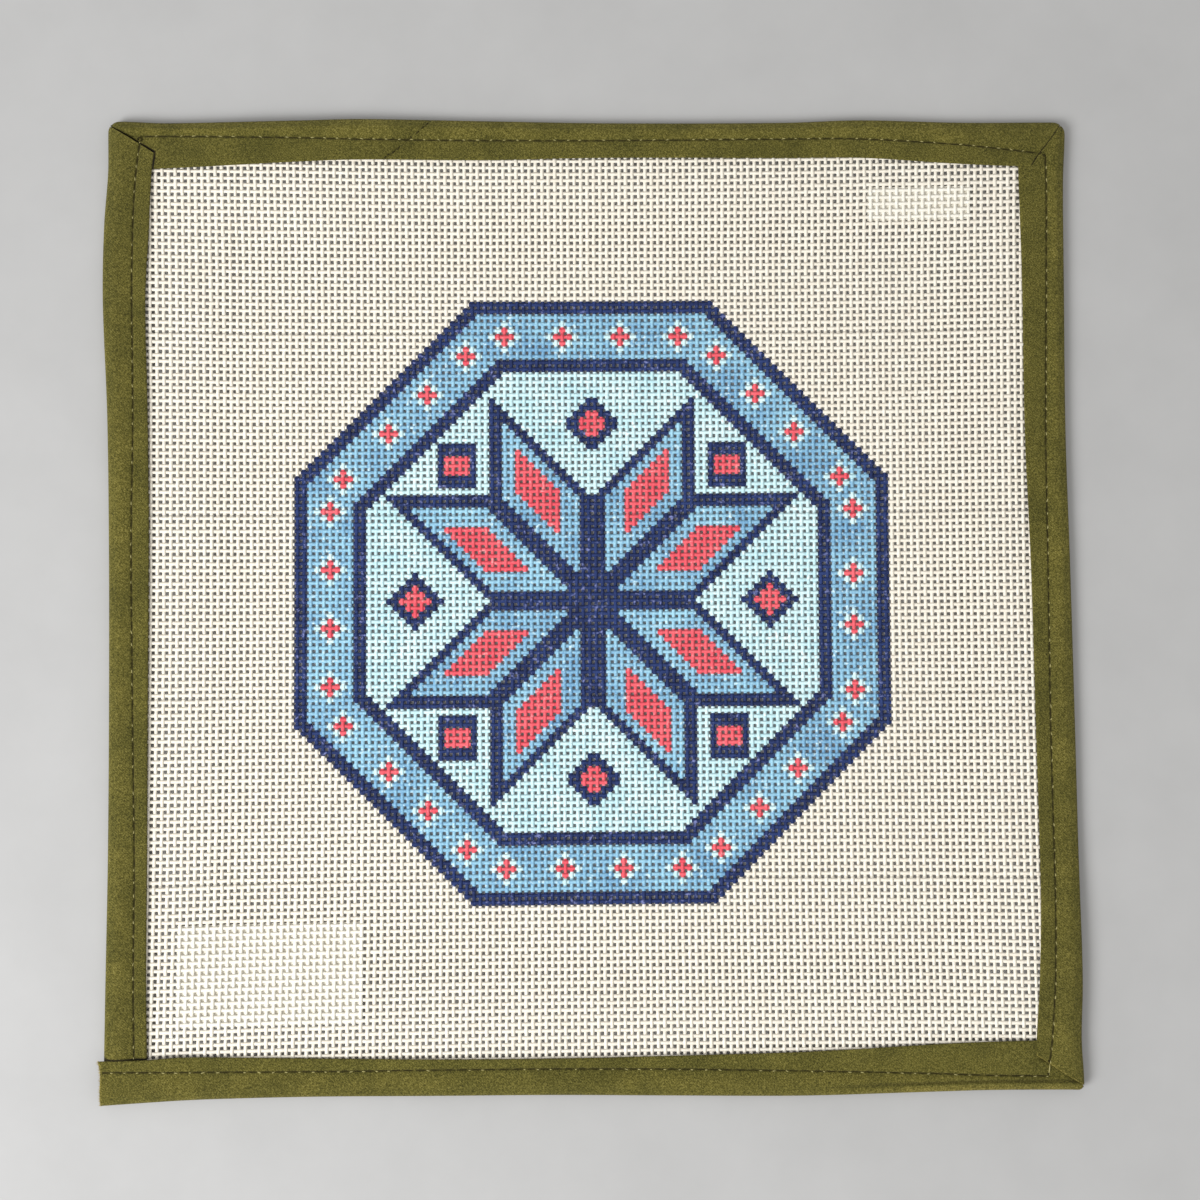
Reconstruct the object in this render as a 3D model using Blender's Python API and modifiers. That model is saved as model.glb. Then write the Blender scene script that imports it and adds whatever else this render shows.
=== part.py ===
"""Needlepoint canvas panel: a square of open-mesh canvas bound all round with folded tape, lying flat.

Units are metres and +Z is up. +Y runs up the panel's face and +X to its right. The tables hold
millimetres, which MM turns into metres. The origin is the middle of the panel's footprint, on the
surface that it lies on.

The tape is folded lengthwise round the canvas's edge, so each length of it has a back leaf, a round
fold and a front leaf. It was sewn on in two lengths, joined on the slant in the top edge, and it is
folded into a mitre at three corners. At the fourth corner the bottom length's raw end stands out past
the left length. Each side is a solid of its own, split at the mitres and at the slanted join.
"""

import math
from collections import namedtuple

import bmesh
import bpy

MM = 0.001

# Layers in millimetres, from the surface up: back leaf, gap, canvas, gap, front leaf
GAP = 0.3
TAPE_THICKNESS = 1.0
CANVAS_THICKNESS = 1.0
SLOT_FLOOR = TAPE_THICKNESS + GAP
FRONT_HEIGHT = 2 * TAPE_THICKNESS + 2 * GAP + CANVAS_THICKNESS + 0.05

# The front leaf's relief above FRONT_HEIGHT: a puffy roll outside the stitching, flat inside it
ROLL_RELIEF = 0.5
SHOULDER_RELIEF = 0.35
FLANGE_RELIEF = 0.1
FOLD_STEPS = 6

# Half the gap between two solids that meet, taken off the end of each along its side
MITRE_PULL = 0.4
JOIN_PULL = 0.25

STATION_STEP = 15.0
CORNER_STEPS = (1.5, 5.0)

# The cut edges of the canvas, hidden in the fold
CANVAS_LEFT, CANVAS_RIGHT = -139.3, 140.3
CANVAS_BOTTOM, CANVAS_TOP = -141.1, 141.7

# The canvas leaves the slot at this distance from the middle and has come down to the surface SAG_RUN
# further in
SAG_START = 128.0
SAG_RUN = 30.0
SAG_STEPS = 6
MIDDLE_STEPS = 11

# Bumps where the edge stands a little off the surface
Lift = namedtuple("Lift", "x y radius height")
LIFTS = (
    Lift(-88.0, 150.0, 62.0, 1.2),
    Lift(150.0, -112.0, 50.0, 1.2),
)

# Where the bottom length lies over the left one, its front leaf is higher by this
OVERLAP_RAISE = 0.8
OVERLAP_END = -128.0
OVERLAP_RUN = 18.0

Colour = namedtuple("Colour", "red green blue")
TAPE_COLOUR = Colour(0.205, 0.190, 0.045)
CANVAS_COLOUR = Colour(0.90, 0.87, 0.80)
CLOTH_ROUGHNESS = 0.9

# Along a side, Row gives the distance from the panel's middle to the fold, the stitching and the
# front leaf's inner edge. The rows follow the tape's uneven run.
Row = namedtuple("Row", "station outer stitch inner")

LEFT_ROWS = (
    Row(-134.0, 142.9, 133.9, 130.2),
    Row(-110.0, 142.6, 134.2, 130.5),
    Row(-75.0, 142.1, 134.1, 130.4),
    Row(-30.0, 142.0, 134.8, 130.4),
    Row(20.0, 142.3, 135.4, 130.3),
    Row(57.0, 143.0, 135.1, 130.8),
    Row(92.0, 144.5, 135.6, 131.6),
    Row(114.0, 144.2, 135.4, 130.6),
    Row(130.0, 143.1, 134.5, 129.9),
    Row(140.0, 143.1, 133.2, 128.5),
    Row(145.0, 143.1, 133.0, 128.0),
)

TOP_ROWS = (
    Row(-143.0, 145.5, 140.7, 131.0),
    Row(-138.0, 145.5, 140.7, 131.0),
    Row(-125.0, 144.9, 140.6, 131.0),
    Row(-87.0, 145.4, 139.9, 132.7),
    Row(-67.0, 145.9, 139.5, 133.4),
    Row(-30.0, 145.4, 139.2, 133.3),
    Row(6.0, 144.7, 139.1, 133.9),
    Row(60.0, 144.7, 139.4, 133.7),
    Row(83.0, 145.4, 139.4, 133.7),
    Row(114.0, 144.6, 137.5, 131.7),
    Row(137.0, 144.6, 135.0, 130.8),
    Row(145.0, 144.6, 134.5, 130.7),
)

RIGHT_ROWS = (
    Row(-144.5, 144.8, 134.0, 130.4),
    Row(-140.0, 144.7, 134.1, 130.4),
    Row(-130.0, 144.2, 135.3, 130.7),
    Row(-113.0, 144.8, 136.5, 131.9),
    Row(-85.0, 144.7, 137.2, 132.9),
    Row(-40.0, 144.5, 137.0, 132.6),
    Row(10.0, 144.1, 137.2, 132.1),
    Row(50.0, 143.6, 137.4, 131.1),
    Row(96.0, 144.1, 138.5, 131.2),
    Row(126.0, 144.5, 139.1, 130.8),
    Row(140.0, 145.3, 138.9, 130.9),
    Row(144.5, 145.3, 138.9, 130.9),
)

BOTTOM_ROWS = (
    Row(-145.0, 146.0, 136.1, 132.9),
    Row(-131.0, 145.2, 136.2, 132.7),
    Row(-120.0, 144.7, 136.4, 132.1),
    Row(-84.0, 144.2, 136.7, 132.9),
    Row(-48.0, 144.4, 136.7, 133.6),
    Row(-11.0, 144.6, 136.8, 133.8),
    Row(25.0, 145.2, 137.3, 133.4),
    Row(62.0, 145.7, 138.3, 132.8),
    Row(98.0, 145.1, 139.4, 131.2),
    Row(116.0, 144.8, 140.2, 130.5),
    Row(140.0, 144.9, 140.7, 130.1),
    Row(145.0, 145.1, 140.7, 130.1),
)

# A side's stations run along +X or +Y. Its outward direction is the other one, times sign.
Side = namedtuple("Side", "runs_along_x sign rows")
LEFT = Side(False, -1, LEFT_ROWS)
TOP = Side(True, 1, TOP_ROWS)
RIGHT = Side(False, 1, RIGHT_ROWS)
BOTTOM = Side(True, -1, BOTTOM_ROWS)

# An end gives the stations where the outer, stitch, mid-flange and inner lines stop
End = namedtuple("End", "outer stitch middle inner")
Strip = namedtuple("Strip", "name side start end start_pull end_pull")
SLANTED_JOIN = End(-47.0, -53.2, -56.8, -60.4)

STRIPS = (
    Strip(
        "binding_left", LEFT,
        End(-132.4, -132.3, -132.3, -132.3), End(143.9, 138.3, 136.9, 135.6),
        0.0, MITRE_PULL,
    ),
    Strip(
        "binding_top_left", TOP,
        End(-141.6, -136.3, -128.7, -129.8), SLANTED_JOIN,
        MITRE_PULL, JOIN_PULL,
    ),
    Strip(
        "binding_top_right", TOP,
        SLANTED_JOIN, End(144.6, 137.3, 135.9, 134.6),
        JOIN_PULL, MITRE_PULL,
    ),
    Strip(
        "binding_right", RIGHT,
        End(-143.5, -137.0, -135.7, -134.4), End(144.4, 137.3, 130.5, 130.4),
        MITRE_PULL, MITRE_PULL,
    ),
    Strip(
        "binding_bottom", BOTTOM,
        End(-143.4, -143.5, -143.8, -144.2), End(144.4, 140.0, 130.1, 130.1),
        0.0, MITRE_PULL,
    ),
)


def ease(share):
    """Return a share from 0 to 1 with level ends, clamped outside them."""
    share = min(max(share, 0.0), 1.0)
    return (1 - math.cos(math.pi * share)) / 2


def edge_lift(x, y):
    """Return how far the panel stands off the surface at a place, in millimetres."""
    height = 0.0
    for bump in LIFTS:
        distance = math.hypot(x - bump.x, y - bump.y)
        height += bump.height * (1 - ease(distance / bump.radius))
    return height


def lines_at(rows, station):
    """Return the outer, stitch and inner distances at a station, on a smooth curve through the rows."""
    last = len(rows) - 2
    k = next((i for i in range(last) if station < rows[i + 1].station), last)
    before, low, high, after = rows[max(k - 1, 0)], rows[k], rows[k + 1], rows[min(k + 2, last + 1)]
    span = high.station - low.station
    t = min(max((station - low.station) / span, 0.0), 1.0)
    distances = []
    for column in ("outer", "stitch", "inner"):
        a, b = getattr(low, column), getattr(high, column)
        slope_a = (b - getattr(before, column)) / (high.station - before.station) * span
        slope_b = (getattr(after, column) - a) / (after.station - low.station) * span
        ends = a * (2 * t**3 - 3 * t**2 + 1) + b * (3 * t**2 - 2 * t**3)
        distances.append(ends + slope_a * (t**3 - 2 * t**2 + t) + slope_b * (t**3 - t**2))
    return distances


def tape_profile():
    """Return the tape's section as two paths, from the back leaf's inner edge to the front leaf's.

    The first path is the outer skin and the second the inner one. Each point is (lane, inset, height).
    Lane 0 is the fold, 1 the stitching, 2 the middle of the flange and 3 its inner edge. Inset is
    millimetres further in from that lane.
    """
    front = (
        (0.55, FRONT_HEIGHT + ROLL_RELIEF),
        (0.85, FRONT_HEIGHT + SHOULDER_RELIEF),
        (1.0, FRONT_HEIGHT),
        (1.3, FRONT_HEIGHT + FLANGE_RELIEF),
        (2.0, FRONT_HEIGHT + FLANGE_RELIEF),
        (3.0, FRONT_HEIGHT),
    )
    middle = FRONT_HEIGHT / 2
    paths = []
    for depth in (0.0, TAPE_THICKNESS):
        radius = middle - depth
        path = [(lane, 0.0, depth) for lane in (3.0, 2.0, 1.0)]
        for k in range(FOLD_STEPS + 1):
            angle = math.pi / 2 + math.pi * k / FOLD_STEPS
            path.append((0.0, middle + radius * math.cos(angle), middle - radius * math.sin(angle)))
        path += [(lane, 0.0, height - depth) for lane, height in front]
        paths.append(path)
    return paths


def lane_value(values, lane):
    """Interpolate between the values of the four lanes."""
    low = min(int(lane), len(values) - 2)
    return values[low] + (values[low + 1] - values[low]) * (lane - low)


def station_shares(length):
    """Return the shares of a side's length where it has a section, closer together at its corners."""
    count = round(length / STATION_STEP)
    inner = [k / count for k in range(1, count)]
    corner = [step / length for step in CORNER_STEPS]
    return [0.0, *corner, *inner, *(1 - share for share in reversed(corner)), 1.0]


def front_raise(strip, x, height):
    """Return how much higher the bottom length's front leaf is where it lies over the left length."""
    if strip.side is not BOTTOM:
        return 0.0
    above_back_leaf = (height - TAPE_THICKNESS) / (FRONT_HEIGHT - 2 * TAPE_THICKNESS)
    return OVERLAP_RAISE * (1 - ease((x - OVERLAP_END) / OVERLAP_RUN)) * ease(above_back_leaf)


def tape_point(strip, profile_point, share):
    """Return the place of one point of the tape's section, in metres."""
    lane, inset, height = profile_point
    side = strip.side
    first = [station + strip.start_pull for station in strip.start]
    last = [station - strip.end_pull for station in strip.end]
    stations = [low + (high - low) * share for low, high in zip(first, last)]
    outer, stitch, inner = lines_at(side.rows, lane_value(stations, lane))
    station = lane_value(stations, lane + inset / (outer - stitch))
    distance = lane_value((outer, stitch, (stitch + inner) / 2, inner), lane) - inset
    across = side.sign * distance
    x, y = (station, across) if side.runs_along_x else (across, station)
    z = height + edge_lift(x, y) + front_raise(strip, x, height)
    return x * MM, y * MM, z * MM


def cloth_material(name, colour):
    """Return a matt cloth material."""
    material = bpy.data.materials.new(name)
    material.use_nodes = True
    shader = material.node_tree.nodes["Principled BSDF"]
    shader.inputs["Base Color"].default_value = (*colour, 1.0)
    shader.inputs["Roughness"].default_value = CLOTH_ROUGHNESS
    shader.inputs["Metallic"].default_value = 0.0
    return material


def add_object(name, shape, material, collection):
    """Turn a bmesh into a smooth shaded object."""
    mesh = bpy.data.meshes.new(name)
    shape.to_mesh(mesh)
    shape.free()
    mesh.shade_smooth()
    mesh.materials.append(material)
    item = bpy.data.objects.new(name, mesh)
    collection.objects.link(item)
    return item


def add_strip(strip, material, collection):
    """Add one side of the tape, a loft through its folded sections, which change along it."""
    length = strip.end.outer - strip.start.outer
    outer_path, inner_path = tape_profile()
    section = outer_path + inner_path[::-1]
    count = len(section)
    shape = bmesh.new()
    rings = []
    for share in station_shares(length):
        rings.append([shape.verts.new(tape_point(strip, point, share)) for point in section])
    for ring, following in zip(rings, rings[1:]):
        for k in range(count):
            after = (k + 1) % count
            shape.faces.new((ring[k], ring[after], following[after], following[k]))
    for ring in (rings[0], rings[-1]):
        for k in range(count // 2 - 1):
            shape.faces.new((ring[k], ring[k + 1], ring[count - 2 - k], ring[count - 1 - k]))
    bmesh.ops.recalc_face_normals(shape, faces=shape.faces)
    return add_object(strip.name, shape, material, collection)


def sag_share(distance):
    """Return how far the canvas has come down, from 0 in the slot to 1 on the surface."""
    return ease((SAG_START - abs(distance)) / SAG_RUN)


def canvas_lines(low, high):
    """Return the grid lines across the canvas, between its cut edges."""
    sag = [SAG_START - SAG_RUN * k / SAG_STEPS for k in range(SAG_STEPS + 1)]
    flat = sag[-1]
    middle = [flat * (2 * k / MIDDLE_STEPS - 1) for k in range(1, MIDDLE_STEPS)]
    low_rim = [low, (low - SAG_START) / 2]
    high_rim = [(SAG_START + high) / 2, high]
    return [*low_rim, *(-d for d in sag), *middle, *reversed(sag), *high_rim]


def add_canvas(material, collection):
    """Add the canvas: held in the slot at its rim and resting on the surface in its middle."""
    shape = bmesh.new()
    lines = []
    for y in canvas_lines(CANVAS_BOTTOM, CANVAS_TOP):
        line = []
        for x in canvas_lines(CANVAS_LEFT, CANVAS_RIGHT):
            z = SLOT_FLOOR * (1 - sag_share(x) * sag_share(y)) + edge_lift(x, y)
            line.append(shape.verts.new((x * MM, y * MM, z * MM)))
        lines.append(line)
    for line, following in zip(lines, lines[1:]):
        for k in range(len(line) - 1):
            shape.faces.new((line[k], line[k + 1], following[k + 1], following[k]))
    canvas = add_object("canvas", shape, material, collection)
    solidify = canvas.modifiers.new("Thickness", "SOLIDIFY")
    solidify.thickness = CANVAS_THICKNESS * MM
    solidify.offset = 1.0
    solidify.use_even_offset = True
    return canvas


def main():
    for item in list(bpy.data.objects):
        bpy.data.objects.remove(item, do_unlink=True)
    panel = bpy.data.collections.new("needlepoint_canvas_panel")
    bpy.context.scene.collection.children.link(panel)
    add_canvas(cloth_material("canvas", CANVAS_COLOUR), panel)
    tape = cloth_material("binding_tape", TAPE_COLOUR)
    for strip in STRIPS:
        add_strip(strip, tape, panel)


main()
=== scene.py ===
import math
from collections import namedtuple

import bpy
import numpy as np
from mathutils import Matrix, Vector, noise
from mathutils.bvhtree import BVHTree


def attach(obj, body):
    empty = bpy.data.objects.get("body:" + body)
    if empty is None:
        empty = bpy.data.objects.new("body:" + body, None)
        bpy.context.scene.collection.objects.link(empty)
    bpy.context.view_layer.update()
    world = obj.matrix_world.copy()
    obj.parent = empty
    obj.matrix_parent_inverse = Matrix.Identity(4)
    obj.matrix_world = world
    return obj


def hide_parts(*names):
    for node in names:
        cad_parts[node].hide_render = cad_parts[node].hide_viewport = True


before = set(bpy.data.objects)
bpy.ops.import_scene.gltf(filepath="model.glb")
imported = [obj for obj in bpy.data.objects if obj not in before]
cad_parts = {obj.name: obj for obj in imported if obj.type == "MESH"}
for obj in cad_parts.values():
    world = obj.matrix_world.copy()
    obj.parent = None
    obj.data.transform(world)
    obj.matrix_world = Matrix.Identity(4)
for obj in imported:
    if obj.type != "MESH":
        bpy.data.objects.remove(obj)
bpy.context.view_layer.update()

# Sizes and places are in millimetres, in the frame's axes, and MM turns them into metres
MM = 0.001

# The layers of the bound edge, as in the solids
GAP = 0.3
LEAF_LEVEL = 1.0
CANVAS_THICKNESS = 1.0
SLOT_FLOOR = LEAF_LEVEL + GAP
FRONT_HEIGHT = 2 * LEAF_LEVEL + 2 * GAP + CANVAS_THICKNESS + 0.05
ROLL_RELIEF = 0.5
FLANGE_RELIEF = 0.1
OVERLAP_RAISE = 0.8
OVERLAP_END = -128.0
OVERLAP_RUN = 18.0

# The cut canvas, which leaves the slot at SAG_START and lies on the surface SAG_RUN further in
CANVAS_LEFT, CANVAS_RIGHT = -139.3, 140.3
CANVAS_BOTTOM, CANVAS_TOP = -141.1, 141.7
SAG_START = 128.0
SAG_RUN = 30.0

# Bumps where the edge stands a little off the surface
Lift = namedtuple("Lift", "x y radius height")
LIFTS = (
    Lift(-88.0, 150.0, 62.0, 1.2),
    Lift(150.0, -112.0, 50.0, 1.2),
)

# The weave: 13 threads to the inch, counted from the medallion's middle, a little closer in the middle
PITCH = 25.4 / 13
MIDDLE_X, MIDDLE_Y = 1.15, 0.66
WEAVE_STRETCH = -0.00197
WEAVE_SHEAR = 0.00184
WEAVE_SPREAD = 0.01118
WEAVE_TIGHT = -0.01491
HALF_COLUMNS, HALF_ROWS = 68.0, 70.0
FIRST_COLUMN, COLUMNS = -69.5, 139
FIRST_ROW, ROWS = -70, 140
BANDS = 5

# A canvas thread's half width and half height where it crosses another and where it passes a hole
THREAD_SIDES = 5
CROSSING_HALF_WIDTH, CROSSING_HALF_HEIGHT = 0.60, 0.23
HOLE_HALF_WIDTH, HOLE_HALF_HEIGHT = 0.55, 0.24
WAVE = 0.11
WANDER = 0.045
WANDER_RUN = 9.0
CROSSING_JITTER = 0.03
FRAYED_END = 1.2
# How much the threads' widths differ from one another, and along each thread
THREAD_UNLIKENESS, PART_UNLIKENESS = 0.05, 0.03

# The threads' places on the flat map. A thread fills most of its row's height, rows of warp hold
# several threads, and all the caps share one small ring.
MAP_FILL = 0.86
MAP_WARPS_A_ROW = 5
MAP_CAP_PLACE, MAP_CAP_RADIUS = 0.001, 0.0008

# Each row gives a station along a side, and there the distances from the panel's middle to the fold,
# to the stitching and to the front leaf's inner edge, as in the solids
LEFT_ROWS = (
    (-134.0, 142.9, 133.9, 130.2),
    (-110.0, 142.6, 134.2, 130.5),
    (-75.0, 142.1, 134.1, 130.4),
    (-30.0, 142.0, 134.8, 130.4),
    (20.0, 142.3, 135.4, 130.3),
    (57.0, 143.0, 135.1, 130.8),
    (92.0, 144.5, 135.6, 131.6),
    (114.0, 144.2, 135.4, 130.6),
    (130.0, 143.1, 134.5, 129.9),
    (140.0, 143.1, 133.2, 128.5),
    (145.0, 143.1, 133.0, 128.0),
)

TOP_ROWS = (
    (-143.0, 145.5, 140.7, 131.0),
    (-138.0, 145.5, 140.7, 131.0),
    (-125.0, 144.9, 140.6, 131.0),
    (-87.0, 145.4, 139.9, 132.7),
    (-67.0, 145.9, 139.5, 133.4),
    (-30.0, 145.4, 139.2, 133.3),
    (6.0, 144.7, 139.1, 133.9),
    (60.0, 144.7, 139.4, 133.7),
    (83.0, 145.4, 139.4, 133.7),
    (114.0, 144.6, 137.5, 131.7),
    (137.0, 144.6, 135.0, 130.8),
    (145.0, 144.6, 134.5, 130.7),
)

RIGHT_ROWS = (
    (-144.5, 144.8, 134.0, 130.4),
    (-140.0, 144.7, 134.1, 130.4),
    (-130.0, 144.2, 135.3, 130.7),
    (-113.0, 144.8, 136.5, 131.9),
    (-85.0, 144.7, 137.2, 132.9),
    (-40.0, 144.5, 137.0, 132.6),
    (10.0, 144.1, 137.2, 132.1),
    (50.0, 143.6, 137.4, 131.1),
    (96.0, 144.1, 138.5, 131.2),
    (126.0, 144.5, 139.1, 130.8),
    (140.0, 145.3, 138.9, 130.9),
    (144.5, 145.3, 138.9, 130.9),
)

BOTTOM_ROWS = (
    (-145.0, 146.0, 136.1, 132.9),
    (-131.0, 145.2, 136.2, 132.7),
    (-120.0, 144.7, 136.4, 132.1),
    (-84.0, 144.2, 136.7, 132.9),
    (-48.0, 144.4, 136.7, 133.6),
    (-11.0, 144.6, 136.8, 133.8),
    (25.0, 145.2, 137.3, 133.4),
    (62.0, 145.7, 138.3, 132.8),
    (98.0, 145.1, 139.4, 131.2),
    (116.0, 144.8, 140.2, 130.5),
    (140.0, 144.9, 140.7, 130.1),
    (145.0, 145.1, 140.7, 130.1),
)

# A side's stations run along +X or +Y. Its outward direction is the other one, times sign. Its row of
# stitching runs from seam_start to seam_end.
Side = namedtuple("Side", "runs_along_x sign rows seam_start seam_end")
LEFT = Side(False, -1, LEFT_ROWS, -132.4, 138.9)
TOP = Side(True, 1, TOP_ROWS, -132.3, 136.2)
RIGHT = Side(False, 1, RIGHT_ROWS, -140.2, 134.3)
BOTTOM = Side(True, -1, BOTTOM_ROWS, -143.8, 133.8)

# An end gives the stations where the outer, stitch, mid-flange and inner lines stop
End = namedtuple("End", "outer stitch middle inner")

# What becomes of the front leaf at a strip's end. The pulls are how far it stops short of its End, at
# the fold's outer edge, on top of the fold and from the stitching inwards. Its end stands above its
# usual level by rise, over a run of its length. Its last part, within reach, is lighter or darker by
# tone, a painted highlight or painted shade at the joint.
Joint = namedtuple("Joint", "pulls rise run tone reach")
# Tones: OVER_MITRE and RIDGE give a painted highlight, UNDER_RAW_END, SEWN_JOIN and OVER_TURN painted shade,
# RAW_END a lighter cut end
OVER_MITRE = Joint((-0.4, 0.0, 0.0), 0.4, 5.0, 0.06, 0.4)
UNDER_MITRE = Joint((-2.6, -2.8, -1.2), -0.5, 1.8, 0.0, 0.0)
UNDER_RAW_END = Joint((-2.0, -2.0, -2.0), -0.3, 3.2, -0.5, 2.15)
SEWN_JOIN = Joint((-0.1, -0.1, -0.1), -0.2, 0.9, -0.12, 0.4)
OVER_TURN = Joint((-0.1, -0.1, -0.1), -0.1, 0.8, -0.5, 0.4)
UNDER_TURN = Joint((-0.25, -1.1, -1.2), -0.5, 1.9, 0.0, 0.0)
RIDGE = Joint((-0.1, -0.1, -0.1), 0.1, 1.2, 0.55, 0.5)
UNDER_RIDGE = Joint((-0.4, -1.6, -1.5), -0.6, 2.6, 0.0, 0.0)
RAW_END = Joint((0.0, 0.0, 0.0), 0.0, 1.0, 0.55, 0.5)
FOLD_TOP_LANE = 0.3
BACK_PULL = 0.1
BACK_EDGE_PULL = 1.3
TONE_FADE = 0.25

Strip = namedtuple("Strip", "name side start end start_joint end_joint")
SLANTED_JOIN = End(-47.0, -53.2, -56.8, -60.4)
STRIPS = (
    Strip("left", LEFT, End(-132.4, -132.3, -132.3, -132.3), End(143.9, 138.3, 136.9, 135.6),
          UNDER_RAW_END, OVER_MITRE),
    Strip("top_left", TOP, End(-141.6, -136.3, -128.7, -129.8), SLANTED_JOIN,
          UNDER_MITRE, SEWN_JOIN),
    Strip("top_right", TOP, SLANTED_JOIN, End(144.6, 137.3, 135.9, 134.6),
          SEWN_JOIN, OVER_TURN),
    Strip("right", RIGHT, End(-143.5, -137.0, -135.7, -134.4), End(144.4, 137.3, 130.5, 130.4),
          RIDGE, UNDER_TURN),
    Strip("bottom", BOTTOM, End(-143.4, -143.5, -143.8, -144.2), End(144.4, 140.0, 130.1, 130.1),
          RAW_END, UNDER_RIDGE),
)

# The panel's outer corners and the radius of each
Corner = namedtuple("Corner", "x y radius")
CORNERS = (
    Corner(-143.1, 145.5, 3.5),
    Corner(145.3, 144.6, 3.7),
    Corner(144.8, -145.1, 2.0),
)

# The painted shadow along the top left mitre, a dark line where the left length lies over the top one
MITRE_SHADOW_LINE = ((-143.2, 144.35), (-128.77, 135.83), (-129.6, 130.8))
MITRE_SHADOW_HALF_WIDTH = 0.34
MITRE_SHADOW_TONE = 0.5

# The tape's own leaf, thinner than the solids' leaf, with a soft edge where its raw edge is turned in.
# The stitching presses the front leaf down on the canvas.
LEAF_THICKNESS = 0.8
PRESS = 0.5
EDGE_ROUND = 0.35
FOLD_STEPS = 8
STATION_STEP = 0.96
END_STEPS = (0.2, 0.45, 0.7, 1.1, 1.4, 2.1, 2.5)

# The padded roll's shape, where 1 gives a sine, and how far it stops short of the stitching's groove
ROLL_SHAPE = 0.8
ROLL_STOP = 0.4

# The stitching pulls the cloth into a narrow groove, deepest between two needle holes, and puckers
# the cloth beside it
STITCH_PITCH = 3.85
STITCH_UNEVEN = 0.14
STITCH_UNEVEN_RUN = 11.0
SEAM_MARGIN = 0.3
GROOVE_DEPTH = 0.4
GROOVE_HALF_WIDTH = 0.25
GROOVE_MEAN, GROOVE_SWING = 0.7, 0.3
PUCKER = 0.08
PUCKER_REACH = 2.4
BACK_GROOVE_DEPTH, BACK_GROOVE_SIDE = 0.3, 0.15

# The cloth's own unevenness: broad waves, small ones, and drag lines that run across its bias. Each has
# a height, its lengths and its own layer of the noise, and the stitching holds part of it down.
BROAD_HEIGHT, BROAD_LENGTH, BROAD_LAYER = 0.13, 16.0, 3.1
SMALL_HEIGHT, SMALL_LENGTH, SMALL_LAYER = 0.06, 5.0, 7.7
DRAG_HEIGHT, DRAG_LAYER = 0.05, 1.3
DRAG_WIDTH, DRAG_LENGTH, DRAG_SLANT = 2.6, 8.5, 0.6
STITCH_HOLD = 0.6

# The tape's usual tone; its roll and fold are lighter by painted highlight and its groove darker by painted
# shade
EVEN_TONE = 0.5
ROLL_TONE, FOLD_TONE, GROOVE_TONE = 0.10, 0.14, -0.40

# A crease runs beside the bottom fold towards the right corner, with painted shade in it and a painted
# highlight on its lip
CREASE_START, CREASE_RUN = 50.0, 50.0
CREASE_OFFSET, CREASE_HALF_WIDTH, CREASE_DEPTH = 2.8, 0.7, 0.45
CREASE_TONE = 0.3
CREASE_LIP_TONE, CREASE_LIP_START = 0.26, 0.6

# Sewing thread. A stitch starts and ends between two shares of its pitch, leans, stands a little proud
# and dips at its ends, where it is thinner.
STITCH_SIDES = 5
STITCH_HALF_WIDTH, STITCH_FULLNESS, STITCH_TAPER = 0.17, (0.85, 1.15), 0.35
STITCH_STARTS, STITCH_ENDS = (0.08, 0.16), (0.84, 0.92)
STITCH_LEAN = 0.06
STITCH_RISE, STITCH_DIP = 0.05, 0.22

# The glints of thread at most needle holes, in sizes like a stitch's: short loops in a lighter thread
# colour, a painted highlight
GLINT_PART = 0.8
GLINT_RADIUS, GLINT_FULLNESS, GLINT_TAPER = 0.15, (0.8, 1.15), 0.55
GLINT_LENGTH, GLINT_LENGTHS = 0.26, (0.6, 1.2)
GLINT_OFFSET, GLINT_LEAN, GLINT_SHIFT = 0.14, 0.08, 0.03
GLINT_RISE, GLINT_DIP = 0.06, 0.12

# The loose loop's middle and radius, its turn, its height above the tape and its thread's radius
LOOP_X, LOOP_Y, LOOP_REACH = -133.4, 139.6, 0.6
LOOP_TURN = (-0.9, 3.6)
LOOP_RISE = 0.12
LOOP_RADIUS = 0.25

# Pits in the slanted join, in the top right mitre and near the raw end, filled with short threads in the
# thread's dark colour as painted shade
Pit = namedtuple("Pit", "x y length radius turn")
PITS = (
    Pit(-47.5, 144.0, 1.0, 0.24, 0.8),
    Pit(-48.7, 142.8, 1.2, 0.28, 0.8),
    Pit(-50.3, 141.4, 1.5, 0.28, 0.7),
    Pit(-52.4, 139.9, 1.0, 0.24, 0.6),
    Pit(-56.1, 136.7, 1.2, 0.26, 0.8),
    Pit(-57.6, 135.5, 1.5, 0.30, 0.6),
    Pit(-59.2, 134.8, 0.9, 0.26, 0.5),
    Pit(-60.1, 134.0, 0.8, 0.24, 0.9),
    Pit(137.5, 134.8, 1.0, 0.36, 0.9),
    Pit(138.6, 134.1, 1.1, 0.38, 2.8),
    Pit(134.1, -136.3, 0.9, 0.30, 1.9),
    Pit(133.9, -140.0, 0.8, 0.34, 2.3),
    Pit(-134.3, -136.2, 1.1, 0.32, 0.1),
    Pit(-130.3, -136.3, 1.1, 0.34, -0.1),
    Pit(-126.7, -136.3, 1.0, 0.32, 0.0),
)
PIT_RISE, PIT_DIP, PIT_TAPER = 0.02, 0.12, 0.6

# The raw end's fibres: each starts FRAY_ROOT inside the end and at most FRAY_DEPTH below the face
FRAY_COUNT = 260
FRAY_SHORTEST, FRAY_LENGTH, FRAY_RARENESS = 0.12, 0.7, 1.5
FRAY_RADIUS, FRAY_TAPER = 0.06, 0.6
FRAY_ROOT, FRAY_DEPTH = 0.12, 0.6
FRAY_SPREAD, FRAY_CURL = (0.4, 0.2), 0.3
# The section's first points are on the back leaf, which has no fibres
FRAY_FIRST = 10


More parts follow.
